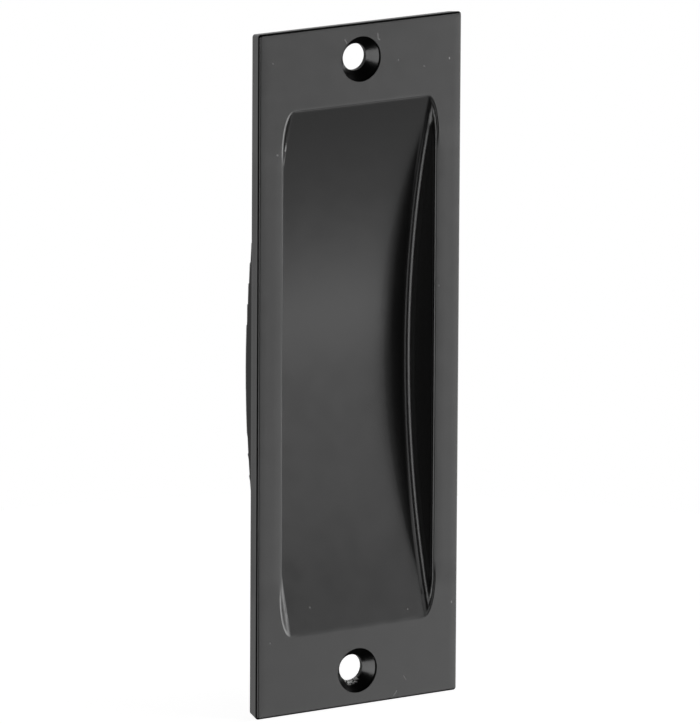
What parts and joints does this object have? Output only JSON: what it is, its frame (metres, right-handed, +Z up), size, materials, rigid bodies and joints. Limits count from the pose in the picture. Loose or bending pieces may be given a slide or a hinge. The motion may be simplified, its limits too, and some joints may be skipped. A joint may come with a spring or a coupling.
{
  "type": "pocket door pull",
  "caption": "Rectangular flush pull for a sliding pocket door: a satin black cast plate with a dished finger pocket, a bulged back and a countersunk screw hole at each end.",
  "frame": {"origin": "midway between the two screw holes, on the plane of the plate's back that seats on the door", "axes": "+Z up along the plate's length, +Y into the door, +X to the right as seen from the front; the face looks along -Y"},
  "size_m": [0.0406, 0.0099, 0.12],
  "materials": {
    "black_coat": "satin black coat on cast metal"
  },
  "bodies": {
    "root": {"flush_pull": "black_coat"}
  },
  "joints": []
}
